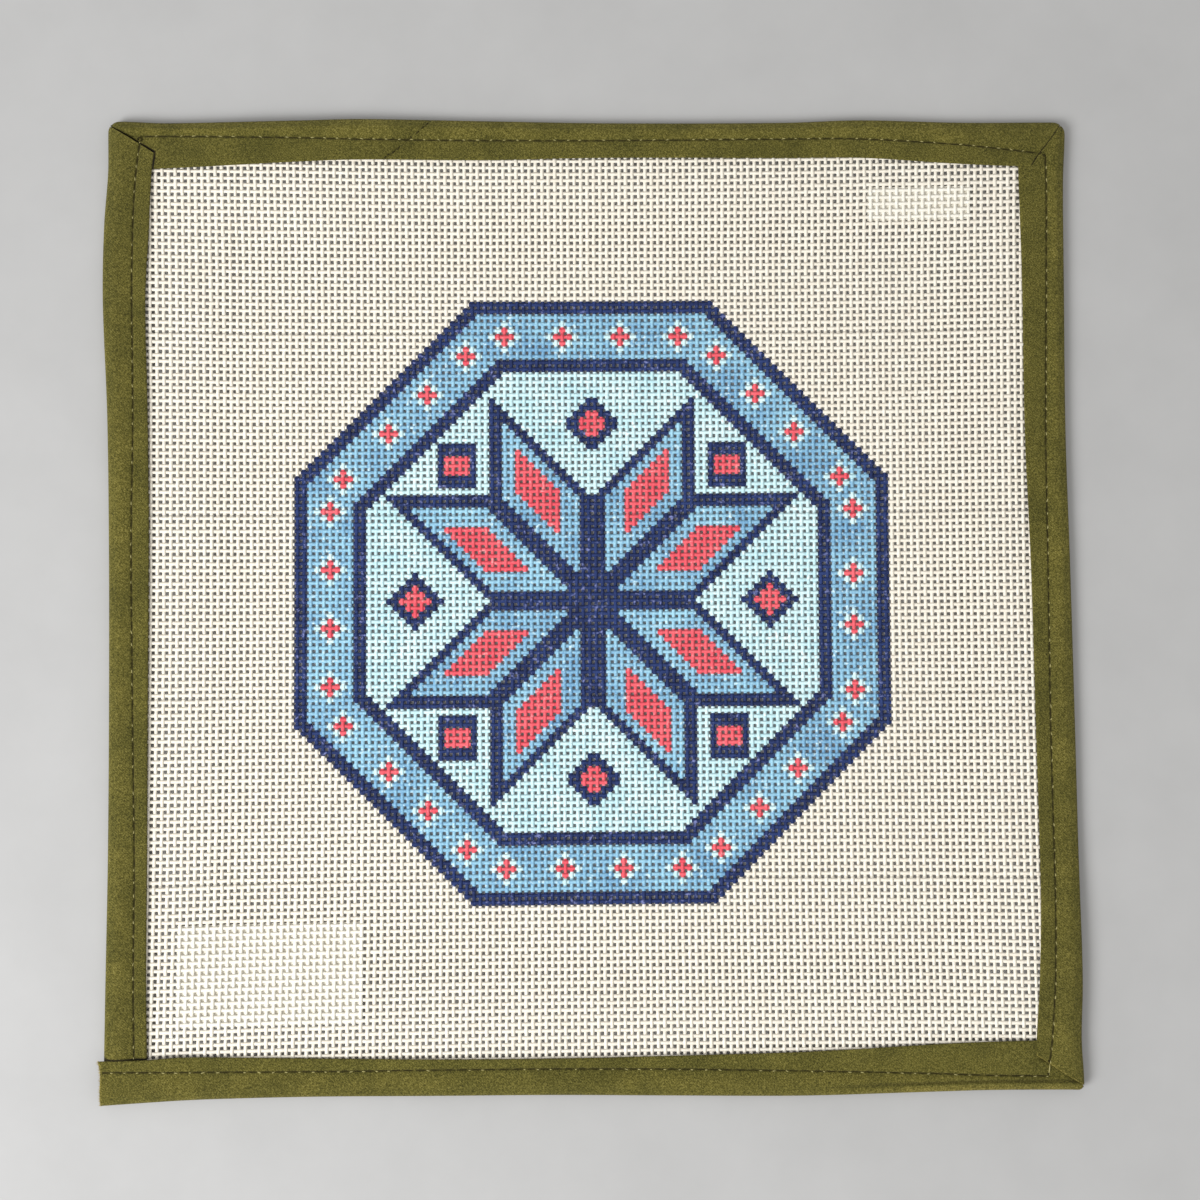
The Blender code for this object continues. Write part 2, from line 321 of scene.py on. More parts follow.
def ease(share):
    """Return a share from 0 to 1 with level ends, clamped outside them."""
    return (1 - np.cos(math.pi * np.clip(share, 0.0, 1.0))) / 2


def edge_lift(x, y):
    """Return how far the panel stands off the surface at places, in millimetres."""
    return sum(
        bump.height * (1 - ease(np.hypot(x - bump.x, y - bump.y) / bump.radius)) for bump in LIFTS
    )


def sag_share(distance):
    """Return how far the canvas has come down, from 0 in the slot to 1 on the surface."""
    return ease((SAG_START - np.abs(distance)) / SAG_RUN)


# Meshes

def loft(rings):
    """Return the points, quads and caps of tubes. The rings are tube by ring by point by 3.

    A ring's points run anticlockwise, seen from where its tube goes.
    """
    tubes, count, sides, _ = rings.shape
    index = np.arange(tubes * count * sides).reshape(tubes, count, sides)
    around = np.roll(index, -1, axis=2)
    quads = np.stack([index[:, :-1], around[:, :-1], around[:, 1:], index[:, 1:]], axis=-1)
    caps = np.concatenate([index[:, 0, ::-1], index[:, -1]])
    return rings.reshape(-1, 3), quads.reshape(-1, 4), caps


def add_mesh(name, points, smooth_faces, flat_faces):
    """Add an object from points in millimetres, with its second group of faces shaded flat."""
    mesh = bpy.data.meshes.new(name)
    faces = [face for group in (*smooth_faces, *flat_faces) for face in group.tolist()]
    mesh.from_pydata((points * MM).tolist(), [], faces)
    smooth_count = sum(len(group) for group in smooth_faces)
    flags = np.arange(len(faces)) < smooth_count
    mesh.polygons.foreach_set("use_smooth", flags)
    item = bpy.data.objects.new(name, mesh)
    bpy.context.scene.collection.objects.link(item)
    return item


def set_places_on_map(item, places):
    """Give a mesh a flat map from an array of one place a face corner."""
    layer = item.data.uv_layers.new(name="OFBake")
    layer.data.foreach_set("uv", np.clip(places, 0.0, 1.0).ravel())


def dress(item, materials, nodes):
    """Give a piece its materials and body, and hide the nodes that it stands for."""
    for material in materials:
        item.data.materials.append(material)
    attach(item, "root")
    if nodes:
        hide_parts(*nodes)


# Materials

def node_tree(name):
    """Return a new material and its node tree and main shader."""
    material = bpy.data.materials.new(name)
    material.use_nodes = True
    tree = material.node_tree
    return material, tree, tree.nodes["Principled BSDF"]


def feed(tree, node, inputs):
    """Set a node's inputs, by name or number, each from a value or another node's output."""
    for key, given in inputs.items():
        if isinstance(given, bpy.types.NodeSocket):
            tree.links.new(given, node.inputs[key])
        else:
            node.inputs[key].default_value = given


def noise_node(tree, scale, detail, roughness=0.6):
    """Add a noise texture in object space, with scale in features a metre, and return its value."""
    place = tree.nodes.new("ShaderNodeTexCoord").outputs["Object"]
    texture = tree.nodes.new("ShaderNodeTexNoise")
    feed(tree, texture, {"Vector": place, "Scale": scale, "Detail": detail, "Roughness": roughness})
    return texture.outputs["Fac"]


def ramp_node(tree, value, stops):
    """Add a colour ramp with (position, colour) stops."""
    ramp = tree.nodes.new("ShaderNodeValToRGB")
    elements = ramp.color_ramp.elements
    elements[0].position, elements[0].color = stops[0][0], (*stops[0][1], 1.0)
    elements[1].position, elements[1].color = stops[-1][0], (*stops[-1][1], 1.0)
    for position, colour in stops[1:-1]:
        elements.new(position).color = (*colour, 1.0)
    feed(tree, ramp, {"Fac": value})
    return ramp.outputs["Color"]


def mix_node(tree, kind, share, first, second):
    """Add a mix of two colours."""
    mix = tree.nodes.new("ShaderNodeMix")
    mix.data_type = "RGBA"
    mix.blend_type = kind
    enabled = [number for number, socket in enumerate(mix.inputs) if socket.enabled]
    feed(tree, mix, dict(zip(enabled, (share, first, second))))
    return next(socket for socket in mix.outputs if socket.enabled)


def maths_node(tree, operation, *values):
    """Add a maths node on numbers or sockets."""
    node = tree.nodes.new("ShaderNodeMath")
    node.operation = operation
    feed(tree, node, dict(enumerate(values)))
    return node.outputs["Value"]


def add_bump(tree, shader, height, strength, distance):
    """Feed a height into the shader's normal. The distance is in metres."""
    bump = tree.nodes.new("ShaderNodeBump")
    feed(tree, bump, {"Height": height, "Strength": strength, "Distance": distance})
    feed(tree, shader, {"Normal": bump.outputs["Normal"]})


def bias_weave(tree, period):
    """Return the height of a plain weave whose threads run at 45 degrees, with the period in metres."""
    place = tree.nodes.new("ShaderNodeTexCoord").outputs["Object"]
    heights = []
    for angle in (math.pi / 4, -math.pi / 4):
        mapping = tree.nodes.new("ShaderNodeMapping")
        feed(tree, mapping, {"Vector": place, "Rotation": (0.0, 0.0, angle)})
        wave = tree.nodes.new("ShaderNodeTexWave")
        # A wave texture has 20 waves in a stretch of two pi divided by its scale
        feed(tree, wave, {
            "Vector": mapping.outputs["Vector"],
            "Scale": 2 * math.pi / (20 * period),
            "Distortion": 1.6,
            "Detail": 2.0,
            "Detail Scale": 1.5,
        })
        heights.append(wave.outputs["Fac"])
    return maths_node(tree, "MULTIPLY", *heights)


def tape_material():
    """Return the binding's peached cotton: speckled olive, with painted shade in its creases and painted
    highlight on its folds.
    """
    material, tree, shader = node_tree("olive_bias_tape")
    speckle = noise_node(tree, 2100.0, 4.0, 0.8)
    colour = ramp_node(tree, speckle, (
        (0.36, (0.042, 0.039, 0.005)),
        (0.50, (0.122, 0.110, 0.018)),
        (0.64, (0.245, 0.216, 0.054)),
    ))
    cloud = ramp_node(tree, noise_node(tree, 90.0, 4.0), (
        (0.35, (0.80, 0.81, 0.76)),
        (0.65, (1.15, 1.13, 1.13)),
    ))
    colour = mix_node(tree, "MULTIPLY", 1.0, colour, cloud)
    # The tone attribute carries painted shade below EVEN_TONE and painted highlight above it
    tone = tree.nodes.new("ShaderNodeAttribute")
    tone.attribute_name = "tone"
    shade = ramp_node(tree, tone.outputs["Fac"], (
        (0.0, (0.03, 0.025, 0.02)),
        (0.15, (0.25, 0.22, 0.16)),
        (EVEN_TONE, (1.0, 1.0, 1.0)),
        (1.0, (1.75, 1.65, 1.9)),
    ))
    fibres = noise_node(tree, 4200.0, 3.0, 0.7)
    feed(tree, shader, {
        "Base Color": mix_node(tree, "MULTIPLY", 1.0, colour, shade),
        "Roughness": maths_node(tree, "MULTIPLY_ADD", fibres, 0.16, 0.80),
        "Specular IOR Level": 0.2,
        "Sheen Weight": 0.08,
        "Sheen Roughness": 0.5,
        "Sheen Tint": (0.75, 0.72, 0.45, 1.0),
    })
    height = maths_node(tree, "MULTIPLY_ADD", fibres, 1.8, bias_weave(tree, 0.00055))
    height = maths_node(tree, "MULTIPLY_ADD", speckle, 3.0, height)
    add_bump(tree, shader, height, 0.7, 0.00022)
    return material


def yarn_material(name, dark, light, fleck, patchiness):
    """Return a matt cotton yarn, plain or painted, that wavers between two colours and is flecked."""
    material, tree, shader = node_tree(name)
    fine = noise_node(tree, 1500.0, 4.0)
    coarse = noise_node(tree, patchiness, 3.0)
    blend = maths_node(tree, "MULTIPLY_ADD", fine, 0.5, maths_node(tree, "MULTIPLY", coarse, 0.5))
    colour = ramp_node(tree, blend, ((0.38, dark), (0.60, light)))
    flecks = ramp_node(tree, noise_node(tree, 620.0, 2.0), (
        (0.60, (0.0, 0.0, 0.0)),
        (0.72, (1.0, 1.0, 1.0)),
    ))
    fibres = noise_node(tree, 5200.0, 2.0)
    feed(tree, shader, {
        "Base Color": mix_node(tree, "MIX", flecks, colour, (*fleck, 1.0)),
        "Roughness": maths_node(tree, "MULTIPLY_ADD", fibres, 0.2, 0.68),
        "Specular IOR Level": 0.3,
    })
    add_bump(tree, shader, maths_node(tree, "ADD", fine, fibres), 0.45, 0.00012)
    return material


def thread_material(name, colour):
    """Return plain sewing thread."""
    material, tree, shader = node_tree(name)
    feed(tree, shader, {"Base Color": (*colour, 1.0), "Roughness": 0.75, "Specular IOR Level": 0.15})
    return material


# The painted chart, a colour for each crossing of the canvas
CREAM, NAVY, SKY, ICE, CORAL, WHITENED = range(6)
YARNS = (
    ("cream_canvas", (0.83, 0.77, 0.66), (0.91, 0.865, 0.76), (0.94, 0.91, 0.82), 260.0),
    ("navy_paint", (0.008, 0.016, 0.070), (0.022, 0.045, 0.165), (0.19, 0.22, 0.46), 180.0),
    ("sky_paint", (0.15, 0.34, 0.56), (0.36, 0.65, 0.80), (0.62, 0.82, 0.90), 60.0),
    ("ice_paint", (0.46, 0.73, 0.80), (0.72, 0.91, 0.93), (0.86, 0.95, 0.95), 90.0),
    ("coral_paint", (0.74, 0.075, 0.110), (0.90, 0.15, 0.18), (0.93, 0.32, 0.34), 160.0),
    ("whitened_canvas", (0.85, 0.81, 0.71), (0.93, 0.90, 0.81), (0.95, 0.93, 0.86), 220.0),
)

# The chart's sizes, counted in threads. Rows are whole numbers and columns lie halfway between them.
MEDALLION_HALF = 46.0
OUTLINE = 2.0
BORDER_INNER = 37.0
BORDER_MIDDLE = 40.6
BORDER_PLACES = (-13.5, -4.5, 4.5, 13.5)
BORDER_DIAMOND = 2.0
STAR_PETAL = 16.25
PETAL_EDGE = 1.8
PETAL_HEART = 4.7
SPRIG_AXIS, DIAMOND_HALF, DIAMOND_HEART = 27.5, 4.0, 2.6
SPRIG_DIAGONAL, SQUARE_HALF, SQUARE_HEART = 21.0, 3.0, 1.6


def medallion_chart(u, v):
    """Return the colour of each crossing, from its places counted in threads."""
    chart = np.full(u.shape, CREAM)
    a, b = np.maximum(np.abs(u), np.abs(v)), np.minimum(np.abs(u), np.abs(v))
    ring = np.maximum(a, (a + b) / math.sqrt(2))
    chart[ring <= MEDALLION_HALF] = NAVY
    chart[ring <= MEDALLION_HALF - OUTLINE] = SKY
    chart[ring <= BORDER_INNER] = NAVY
    chart[ring <= BORDER_INNER - OUTLINE] = ICE
    # Small diamonds run round the border, four to each of its eight sides, each round a crossing
    for eighth in range(8):
        turn = math.pi / 4 * eighth
        for along in BORDER_PLACES:
            middle_u = BORDER_MIDDLE * math.cos(turn) - along * math.sin(turn)
            middle_v = BORDER_MIDDLE * math.sin(turn) + along * math.cos(turn)
            distance = np.abs(u - math.floor(middle_u) - 0.5) + np.abs(v - round(middle_v))
            chart[distance <= BORDER_DIAMOND] = ICE
            chart[distance <= BORDER_DIAMOND - 1] = CORAL
    # The star's eight petals are slanted diamonds that meet in the middle
    far, near = a - b, b
    petal = (near < STAR_PETAL) & (far < STAR_PETAL)
    depth = np.minimum.reduce([near, far, STAR_PETAL - near, STAR_PETAL - far])
    chart[petal] = NAVY
    chart[petal & (depth > PETAL_EDGE)] = SKY
    chart[petal & (depth > PETAL_HEART)] = CORAL
    # Diamonds and squares fill the notches between the petals
    on_axis = np.abs(a - SPRIG_AXIS) + b
    chart[on_axis <= DIAMOND_HALF] = NAVY
    chart[on_axis <= DIAMOND_HEART] = CORAL
    on_diagonal = np.maximum(np.abs(a - SPRIG_DIAGONAL), np.abs(b - SPRIG_DIAGONAL))
    chart[on_diagonal <= SQUARE_HALF] = NAVY
    chart[on_diagonal <= SQUARE_HEART] = CORAL
    return chart


# White strips stuck behind the canvas close its holes in two places, counted in threads
Patch = namedtuple("Patch", "name left right bottom top under")
PATCHES = (
    Patch("backing_patch_upper", 43.05, 58.55, 58.5, 63.6, "canvas_band_5"),
    Patch("backing_patch_lower", -63.0, -35.45, -63.5, -48.5, "canvas_band_1"),
)
PATCH_THICKNESS = 0.14
PATCH_CLEARANCE = 0.02
# The canvas starts to rise this far beside a strip, in threads
PATCH_REACH = 1.5


def weave_place(u, v):
    """Return the x and y of places counted in threads from the medallion's middle."""
    spread = 1 + WEAVE_TIGHT + WEAVE_SPREAD * ((u / HALF_COLUMNS) ** 2 + (v / HALF_ROWS) ** 2)
    x = MIDDLE_X + u * PITCH * (1 + WEAVE_STRETCH) * spread + WEAVE_SHEAR * v * PITCH
    y = MIDDLE_Y + v * PITCH * (1 - WEAVE_STRETCH) * spread
    return x, y


def patch_lift(u, v):
    """Return how far a backing strip holds the canvas up."""
    lift = 0.0
    for patch in PATCHES:
        across = ease(u - patch.left + PATCH_REACH) * ease(patch.right + PATCH_REACH - u)
        up = ease(v - patch.bottom + PATCH_REACH) * ease(patch.top + PATCH_REACH - v)
        lift = lift + (PATCH_THICKNESS + 2 * PATCH_CLEARANCE) * across * up
    return lift


def canvas_floor(x, y):
    """Return the height of the canvas's underside, without what lies behind it."""
    return SLOT_FLOOR * (1 - sag_share(x) * sag_share(y)) + edge_lift(x, y)


def wander(count, steps, draws):
    """Return a slow sideways drift along each of several threads."""
    knots = int(steps / WANDER_RUN) + 2
    raw = draws.normal(0.0, WANDER, (count, knots))
    at = np.arange(steps) / WANDER_RUN
    return np.stack([np.interp(at, np.arange(knots), line) for line in raw])


def thread_rings(u, v, along_x, level, ends, draws):
    """Return the rings of parallel threads. The level is 1 where a thread is on top and -1 below.

    The places run from thread to thread and then along each thread, and ends is where the threads
    are cut, or None where they go on in the next band.
    """
    count, steps = u.shape
    at_crossing = np.arange(steps) % 2 == 1
    x, y = weave_place(u, v)
    side = wander(count, steps, draws)
    side += np.where(at_crossing, draws.normal(0.0, CROSSING_JITTER, (count, steps)), 0.0)
    x, y = (x, y + side) if along_x else (x + side, y)
    z = canvas_floor(x, y) + patch_lift(u, v) + CANVAS_THICKNESS / 2 + WAVE * level
    fullness = 1 + draws.normal(0.0, THREAD_UNLIKENESS, (count, 1))
    fullness = fullness + draws.normal(0.0, PART_UNLIKENESS, (count, steps))
    half_width = np.where(at_crossing, CROSSING_HALF_WIDTH, HOLE_HALF_WIDTH) * fullness
    half_height = np.where(at_crossing, CROSSING_HALF_HEIGHT, HOLE_HALF_HEIGHT) * np.ones_like(x)
    path = np.stack([x, y, z], axis=-1)
    for cut, first in zip(ends, (True, False)):
        if cut is None:
            continue
        tip = path[:, :1].copy() if first else path[:, -1:].copy()
        inward = draws.uniform(0.0, FRAYED_END, (count, 1))
        tip[..., 0 if along_x else 1] = cut + (inward if first else -inward)
        where = 0 if first else -1
        parts = [(tip, path), (half_width[:, where][:, None], half_width)]
        parts.append((half_height[:, where][:, None], half_height))
        joined = [np.concatenate(part if first else part[::-1], axis=1) for part in parts]
        path, half_width, half_height = joined
    angles = math.pi / 2 + 2 * math.pi * np.arange(THREAD_SIDES) / THREAD_SIDES
    across = np.array((0.0, 1.0, 0.0) if along_x else (-1.0, 0.0, 0.0))
    up = np.array((0.0, 0.0, 1.0))
    wide = half_width[..., None, None] * np.cos(angles)[:, None] * across
    high = half_height[..., None, None] * np.sin(angles)[:, None] * up
    return path[:, :, None] + wide + high


def strip_map(count, steps, first_row, rows, per_row):
    """Return map places for the faces of tubes, laid out as rows of narrow strips."""
    tube, step, side = np.meshgrid(
        np.arange(count), np.arange(steps - 1), np.arange(THREAD_SIDES), indexing="ij"
    )
    row = first_row + tube // per_row
    start = (tube % per_row) / per_row
    along = np.stack([step, step, step + 1, step + 1], axis=-1) / (steps - 1) / per_row
    across = np.stack([side, side + 1, side + 1, side], axis=-1) / THREAD_SIDES
    across = across * MAP_FILL + (1 - MAP_FILL) / 2
    return np.stack([start[..., None] + along, (row[..., None] + across) / rows], axis=-1).reshape(-1, 2)


def cap_map(count):
    """Return map places for caps, all small and in the map's first corner."""
    angles = 2 * math.pi * np.arange(THREAD_SIDES) / THREAD_SIDES
    ring = MAP_CAP_PLACE + MAP_CAP_RADIUS * np.stack([np.cos(angles), np.sin(angles)], axis=-1)
    return np.tile(ring, (count, 1))


def add_canvas_band(band, materials, draws):
    """Add one band of the woven canvas, as its own piece."""
    rows_each = ROWS // BANDS
    low_row = FIRST_ROW + band * rows_each
    columns = FIRST_COLUMN + np.arange(COLUMNS)
    rows = low_row + np.arange(rows_each)
    u_steps = FIRST_COLUMN - 0.5 + 0.5 * np.arange(2 * COLUMNS + 1)
    v_steps = low_row - 0.5 + 0.5 * np.arange(2 * rows_each + 1)
    chart_u, chart_v = np.meshgrid(columns, rows)
    chart = medallion_chart(chart_u, chart_v)
    for patch in PATCHES:
        inside = (chart_u > patch.left) & (chart_u < patch.right)
        inside &= (chart_v > patch.bottom) & (chart_v < patch.top)
        chart[inside] = WHITENED
    column_index = np.arange(COLUMNS)
    row_index = band * rows_each + np.arange(rows_each)
    over = np.where((column_index[None, :] + row_index[:, None]) % 2, 1.0, -1.0)

    weft_u, weft_v = np.meshgrid(u_steps, rows.astype(float))
    weft_level = np.zeros(weft_u.shape)
    weft_level[:, 1::2] = over
    weft = thread_rings(weft_u, weft_v, True, weft_level, (CANVAS_LEFT, CANVAS_RIGHT), draws)
    warp_v, warp_u = np.meshgrid(v_steps, columns)
    warp_level = np.zeros(warp_u.shape)
    warp_level[:, 1::2] = -over.T
    ends = (CANVAS_BOTTOM if band == 0 else None, CANVAS_TOP if band == BANDS - 1 else None)
    warp = thread_rings(warp_u, warp_v, False, warp_level, ends, draws)

    points, quads, caps = loft(weft)
    warp_points, warp_quads, warp_caps = loft(warp)
    first = len(points)
    points = np.concatenate([points, warp_points])
    item = add_mesh(
        f"canvas_band_{band + 1}", points, (quads, warp_quads + first), (caps, warp_caps + first)
    )

    def face_colours(colours, extra_first, extra_last):
        """Repeat each crossing's colour over its two steps and all sides of its thread."""
        steps = np.repeat(colours, 2, axis=1)
        steps = np.pad(steps, ((0, 0), (extra_first, extra_last)), mode="edge")
        return np.repeat(steps, THREAD_SIDES, axis=1).ravel()

    weft_colours = face_colours(chart, 1, 1)
    warp_colours = face_colours(chart.T, int(ends[0] is not None), int(ends[1] is not None))
    cap_colours = np.full(len(caps) + len(warp_caps), CREAM)
    indices = np.concatenate([weft_colours, warp_colours, cap_colours])
    item.data.polygons.foreach_set("material_index", indices)

    map_rows = rows_each + math.ceil(COLUMNS / MAP_WARPS_A_ROW)
    set_places_on_map(item, np.concatenate([
        strip_map(rows_each, weft.shape[1], 0, map_rows, 1),
        strip_map(COLUMNS, warp.shape[1], rows_each, map_rows, MAP_WARPS_A_ROW),
        cap_map(len(caps) + len(warp_caps)),
    ]))
    dress(item, materials, ("canvas",))
    return item


def add_patch(patch, material):
    """Add a white strip behind the canvas, which lies on it."""
    columns = np.arange(math.ceil(patch.right - patch.left) + 1)
    rows = np.arange(math.ceil(patch.top - patch.bottom) + 1)
    u, v = np.meshgrid(
        patch.left + (patch.right - patch.left) * columns / columns[-1],
        patch.bottom + (patch.top - patch.bottom) * rows / rows[-1],
    )
    x, y = weave_place(u, v)
    low = canvas_floor(x, y) + PATCH_CLEARANCE
    lower = np.stack([x, y, low], axis=-1)
    upper = np.stack([x, y, low + PATCH_THICKNESS], axis=-1)
    index = np.arange(x.size).reshape(x.shape)
    top = np.stack([index[:-1, :-1], index[:-1, 1:], index[1:, 1:], index[1:, :-1]], axis=-1)
    top = top.reshape(-1, 4)
    rim = np.concatenate([index[0, :-1], index[:-1, -1], index[-1, :0:-1], index[:0:-1, 0]])
    after = np.roll(rim, -1)
    sides = np.stack([rim, after, after + x.size, rim + x.size], axis=-1)
    points = np.concatenate([lower.reshape(-1, 3), upper.reshape(-1, 3)])
    item = add_mesh(patch.name, points, (), (top[:, ::-1], top + x.size, sides))
    dress(item, [material], ())
    return item


# Binding tape

def lines_at(rows, stations):
    """Return the outer, stitch and inner distances at stations, on smooth curves through the rows."""
    table = np.array(rows)
    knots = table[:, 0]
    k = np.clip(np.searchsorted(knots, stations, side="right") - 1, 0, len(knots) - 2)
    before, after = np.maximum(k - 1, 0), np.minimum(k + 2, len(knots) - 1)
    span = knots[k + 1] - knots[k]
    t = np.clip((stations - knots[k]) / span, 0.0, 1.0)
    distances = []
    for column in (1, 2, 3):
        line = table[:, column]
        a, b = line[k], line[k + 1]
        slope_a = (b - line[before]) / (knots[k + 1] - knots[before]) * span
        slope_b = (line[after] - a) / (knots[after] - knots[k]) * span
        ends = a * (2 * t**3 - 3 * t**2 + 1) + b * (3 * t**2 - 2 * t**3)
        distances.append(ends + slope_a * (t**3 - 2 * t**2 + t) + slope_b * (t**3 - t**2))
    return distances


def uneven_count(stations):
    """Return a count of stitches whose length wavers."""
    return stations / STITCH_PITCH + STITCH_UNEVEN * np.sin(stations / STITCH_UNEVEN_RUN)


def stitch_count(side):
    """Return how many stitches a side's row has."""
    return round(uneven_count(side.seam_end) - uneven_count(side.seam_start))


def stitch_phase(side, stations):
    """Return the count of stitches from the row's start. The needle went in at whole counts."""
    first, last = uneven_count(side.seam_start), uneven_count(side.seam_end)
    return (uneven_count(stations) - first) / (last - first) * stitch_count(side)


# A point of the tape's section. Its zone says what its value is: on the fold a share of the way round,
# in the roll or the flange a share of its width, at the stitching a distance from it, and at the inner
# edge a share of its rounding. The lane is 0 on the fold, 1 at the stitching and 3 at the inner edge.
# The depth is how far it lies inside the leaf's outer face, from 0 to 1.
SectionPoint = namedtuple("SectionPoint", "zone value lane depth front")
EDGE_OUTSIDE = ((0.0, 0.0), (0.7, 0.12), (1.0, 0.5))
EDGE_INSIDE = ((0.7, 0.88), (0.0, 1.0))
ROLL_SHARES = (0.12, 0.25, 0.4, 0.55, 0.7, 0.85, 1.0)
GROOVE_OFFSETS = (-0.5, -0.28, -0.12, 0.0, 0.12, 0.28, 0.5, 0.9)
FLANGE_SHARES = (0.32, 0.46, 0.6, 0.75, 0.88)


def zone_points(zone, values, depth, front):
    """Return points of one zone, all at one depth."""
    lanes = {"fold": 0.0, "roll": 0.5, "stitch": 1.0, "edge": 3.0}
    points = []
    for value in values:
        lane = 1 + 2 * value if zone == "flange" else lanes[zone]
        if zone == "roll" and front:
            lane = value
        points.append(SectionPoint(zone, value, lane, depth, front))
    return points


def edge_points(shape, front):
    """Return points round a leaf's inner edge, from pairs of a value and a depth."""
    return [point for value, depth in shape for point in zone_points("edge", (value,), depth, front)]


def tape_section():
    """Return the section's points outside, from the back leaf to the front, and inside on the way back."""
    outside = edge_points(EDGE_OUTSIDE[::-1], False)
    outside += zone_points("flange", (0.6, 0.3), 0.0, False)
    outside += zone_points("stitch", (0.3, 0.0, -0.3), 0.0, False)
    outside += zone_points("roll", (0.7, 0.3), 0.0, False)
    outside += zone_points("fold", np.linspace(0.0, 1.0, FOLD_STEPS + 1).tolist(), 0.0, False)
    outside += zone_points("roll", ROLL_SHARES, 0.0, True)
    outside += zone_points("stitch", GROOVE_OFFSETS, 0.0, True)
    outside += zone_points("flange", FLANGE_SHARES, 0.0, True)
    outside += edge_points(EDGE_OUTSIDE, True)
    inside = edge_points(EDGE_INSIDE, True)
    inside += zone_points("flange", (0.5,), 1.0, True)
    inside += zone_points("stitch", (0.0,), 1.0, True)
    inside += zone_points("roll", (0.5,), 1.0, True)
    inside += zone_points("fold", (1.0, 0.75, 0.5, 0.25, 0.0), 1.0, False)
    inside += zone_points("stitch", (0.0,), 1.0, False)
    inside += zone_points("flange", (0.5,), 1.0, False)
    inside += edge_points(EDGE_INSIDE[::-1], False)
    return outside, inside


def stops_at(strip, frontness, lanes):
    """Return the stations where a strip starts and ends, for an array of lanes."""
    stops = []
    for ends, joint, sign in ((strip.start, strip.start_joint, 1), (strip.end, strip.end_joint, -1)):
        front_pull = np.interp(lanes, (0.0, FOLD_TOP_LANE, 1.0), joint.pulls)
        pull = BACK_PULL + (front_pull - BACK_PULL) * frontness
        stops.append(np.interp(lanes, range(len(ends)), ends) + sign * pull)
    return stops


def line_distance(x, y, line):
    """Return how far places are from a line of straight pieces."""
    distances = []
    for (x0, y0), (x1, y1) in zip(line, line[1:]):
        length = math.hypot(x1 - x0, y1 - y0)
        ahead_x, ahead_y = (x1 - x0) / length, (y1 - y0) / length
        along = np.clip((x - x0) * ahead_x + (y - y0) * ahead_y, 0.0, length)
        distances.append(np.hypot(x - x0 - along * ahead_x, y - y0 - along * ahead_y))
    return np.minimum.reduce(distances)


def round_corners(x, y):
    """Return places with the panel's outer corners rounded."""
    for corner in CORNERS:
        sign_x, sign_y = math.copysign(1.0, corner.x), math.copysign(1.0, corner.y)
        from_x = np.maximum(sign_x * (x - corner.x) + corner.radius, 0.0)
        from_y = np.maximum(sign_y * (y - corner.y) + corner.radius, 0.0)
        reach = np.maximum(np.hypot(from_x, from_y), 0.001)
        shrink = np.maximum(from_x, from_y) / reach - 1
        inside = (from_x > 0) & (from_y > 0)
        x = np.where(inside, x + sign_x * from_x * shrink, x)
        y = np.where(inside, y + sign_y * from_y * shrink, y)
    return x, y


def roll_relief(distance, width, fold):
    """Return the height of the padded roll at a distance from the fold."""
    share = np.clip((distance - fold) / (width - fold), 0.0, 1.0)
    return ROLL_RELIEF * np.sin(math.pi * share**ROLL_SHAPE) ** ROLL_SHAPE


def cloth_waves(points, strength):
    """Return the cloth's own unevenness at points."""
    heights = []
    for x, y in points:
        across, along = (x + DRAG_SLANT * y) / DRAG_WIDTH, (y - DRAG_SLANT * x) / DRAG_LENGTH
        heights.append(
            BROAD_HEIGHT * noise.noise(Vector((x / BROAD_LENGTH, y / BROAD_LENGTH, BROAD_LAYER)))
            + SMALL_HEIGHT * noise.noise(Vector((x / SMALL_LENGTH, y / SMALL_LENGTH, SMALL_LAYER)))
            + DRAG_HEIGHT * noise.noise(Vector((across, along, DRAG_LAYER)))
        )
    return np.array(heights) * strength


